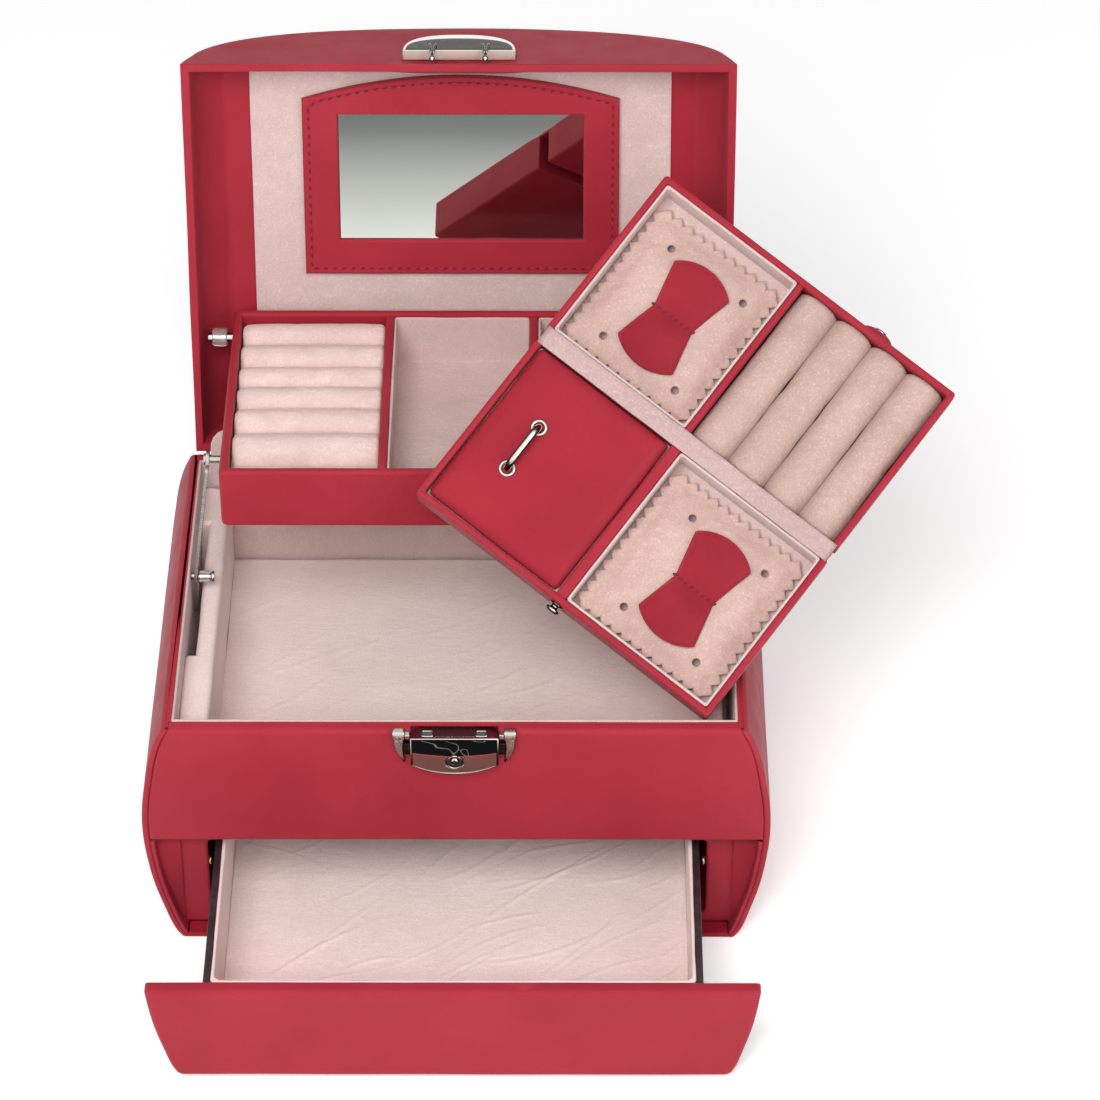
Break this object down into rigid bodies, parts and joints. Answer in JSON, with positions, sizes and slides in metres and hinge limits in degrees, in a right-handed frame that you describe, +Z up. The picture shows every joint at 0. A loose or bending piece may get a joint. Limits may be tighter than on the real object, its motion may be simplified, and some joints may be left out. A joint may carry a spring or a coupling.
{
  "type": "jewellery chest with drawer",
  "caption": "Barrel-sided leather jewellery chest with an arched mirror lid that lifts a ring tray, a front drawer and a folding travel case.",
  "frame": {"origin": "centre of the chest body's underside", "axes": "+Z up, the lock and the drawer face -Y, +X to the right seen from the front"},
  "size_m": [0.3455, 0.3581, 0.309],
  "materials": {
    "leather": "fine grain, satin",
    "velour": "short pile",
    "dark_board": "matt",
    "chrome": "polished",
    "brass": "polished",
    "clear_plastic": "clear",
    "mirror": "silvered",
    "black_cloth": "matt"
  },
  "bodies": {
    "chest": {"base_panel": "leather", "side_panel_right": "leather", "side_panel_left": "leather", "front_panel": "leather", "back_panel": "leather", "divider_board": "dark_board", "drawer_bay_frame": "leather", "rim_lining": "velour", "compartment_liner": "velour", "hinge_cover_flap": "velour", "hinge_strip_body": "leather", "lock_body": "chrome", "arm_pin_right": "chrome", "arm_pin_left": "chrome", "arm_spacer_right": "clear_plastic", "arm_spacer_left": "clear_plastic"},
    "lock_plug": {"lock_key_plug": "chrome"},
    "lever_right": {"lock_lever_right": "chrome"},
    "lever_left": {"lock_lever_left": "chrome"},
    "lid": {"lid_shell": "leather", "hinge_strip_lid": "leather", "lid_lining_panel": "velour", "mirror_frame": "leather", "mirror_glass": "mirror", "catch_plate": "chrome", "lid_pin_right": "chrome", "lid_pin_left": "chrome", "lid_spacer_right": "clear_plastic", "lid_spacer_left": "clear_plastic"},
    "tray": {"tray_shell": "leather", "tray_base_cloth": "black_cloth", "tray_lining": "velour", "tray_divider_left": "leather", "tray_divider_right": "leather", "tray_ring_rolls": "velour"},
    "arm_right": {"arm_right": "chrome"},
    "arm_left": {"arm_left": "chrome"},
    "drawer": {"drawer_front": "leather", "drawer_box": "dark_board", "drawer_lining": "velour", "drawer_stop_right": "brass", "drawer_stop_left": "brass"},
    "case_base": {"case_base_shell": "leather", "case_base_divider": "leather", "case_base_store_lining": "velour", "case_base_lining": "velour", "case_base_pad": "velour", "case_base_flap": "leather", "case_cover": "leather", "case_handle": "chrome", "case_spine": "velour", "case_snap_stud": "chrome"},
    "case_lid": {"case_lid_shell": "leather", "case_lid_divider": "leather", "case_lid_lining": "velour", "case_lid_pad": "velour", "case_lid_flap": "leather", "case_lid_rolls": "velour", "case_clasp_tab": "leather"}
  },
  "joints": [
    {"name": "lid_hinge", "type": "hinge", "parent": "chest", "child": "lid", "pos_m": [0, 0.0938, 0.1209], "axis": [1, 0, 0], "range_deg": [0, 101.3]},
    {"name": "tray_pivot", "type": "hinge", "parent": "lid", "child": "tray", "pos_m": [0, 0.11, 0.1733], "axis": [1, 0, 0], "range_deg": [-101.3, 0]},
    {"name": "arm_right_pivot", "type": "hinge", "parent": "chest", "child": "arm_right", "pos_m": [0.1153, 0.0122, 0.1156], "axis": [1, 0, 0], "range_deg": [0, 101.3]},
    {"name": "arm_left_pivot", "type": "hinge", "parent": "chest", "child": "arm_left", "pos_m": [-0.1153, 0.0122, 0.1156], "axis": [1, 0, 0], "range_deg": [0, 101.3]},
    {"name": "drawer_slide", "type": "slide", "parent": "chest", "child": "drawer", "axis": [0, -1, 0], "range_m": [-0.0855, 0.03]},
    {"name": "lever_right_slide", "type": "slide", "parent": "chest", "child": "lever_right", "axis": [1, 0, 0], "range_m": [0, 0.003]},
    {"name": "lever_left_slide", "type": "slide", "parent": "chest", "child": "lever_left", "axis": [-1, 0, 0], "range_m": [0, 0.003]},
    {"name": "key_turn", "type": "hinge", "parent": "chest", "child": "lock_plug", "pos_m": [0, -0.099, 0.1072], "axis": [0, -1, 0], "range_deg": [0, 90]},
    {"name": "case_lift", "type": "slide", "parent": "chest", "child": "case_base", "axis": [0.0192, -0.6806, 0.7324], "range_m": [0, 0.305]},
    {"name": "case_fold", "type": "hinge", "parent": "case_base", "child": "case_lid", "pos_m": [0.09751, -0.0067, 0.20452], "axis": [0.7916, -0.4371, -0.4269], "range_deg": [0, 180]}
  ],
  "couplings": [
    {"joint": "tray_pivot", "follows": "lid_hinge", "ratio": -1},
    {"joint": "arm_right_pivot", "follows": "lid_hinge", "ratio": 1},
    {"joint": "arm_left_pivot", "follows": "lid_hinge", "ratio": 1},
    {"joint": "case_lift", "follows": "lid_hinge", "m_per_rad": 0.17}
  ]
}
